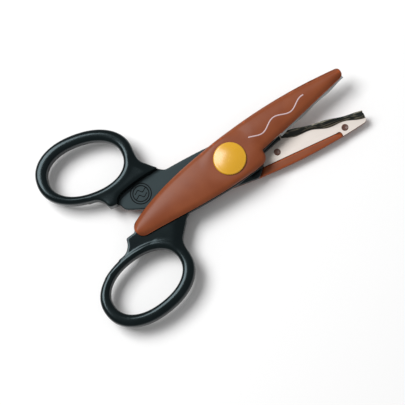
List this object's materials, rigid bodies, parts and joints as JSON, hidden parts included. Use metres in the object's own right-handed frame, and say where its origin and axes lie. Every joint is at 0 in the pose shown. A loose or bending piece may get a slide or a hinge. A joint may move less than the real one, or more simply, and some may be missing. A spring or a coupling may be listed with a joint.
{
  "type": "decorative edge scissors",
  "caption": "Hand scissors with wave-formed blades that cut paper with a wavy edge; finger loops, leaf-shaped blade covers and a capped pivot.",
  "frame": {"origin": "on the pivot's axis, at the flat face of the lower cap that the scissors rest on", "axes": "+X from the pivot towards the blade tips, along the line between the two blades; +Z along the pivot, from the lower half to the upper half; +Y to the side of the upper blade when the scissors are open"},
  "size_m": [0.1588, 0.103, 0.0176],
  "materials": {
    "handle_black": "semi-gloss moulded plastic, matt on the flat inner face",
    "cover_brown": "fine moulded texture, satin",
    "cap_yellow": "smooth gloss",
    "blade_steel": "satin flange, polished wave-formed edge",
    "rivet_brown": "smooth satin",
    "zinc_hardware": "bright zinc plated",
    "nylon_white": "smooth natural nylon"
  },
  "bodies": {
    "lower_half": {"lower_handle": "handle_black", "lower_cover": "cover_brown", "lower_blade": "blade_steel", "lower_blade_rivets": "rivet_brown", "lower_cap": "cap_yellow", "pivot_screw": "zinc_hardware", "pivot_nut": "zinc_hardware", "thrust_washer": "nylon_white", "disc_spring": "zinc_hardware", "head_washer": "zinc_hardware"},
    "upper_half": {"upper_handle": "handle_black", "upper_cover": "cover_brown", "upper_blade": "blade_steel", "upper_blade_rivets": "rivet_brown", "upper_cap": "cap_yellow"}
  },
  "joints": [
    {"name": "blade_pivot", "type": "hinge", "parent": "lower_half", "child": "upper_half", "pos_m": [0, 0, 0.0084], "axis": [0, 0, 1], "range_deg": [-16, 31]}
  ]
}
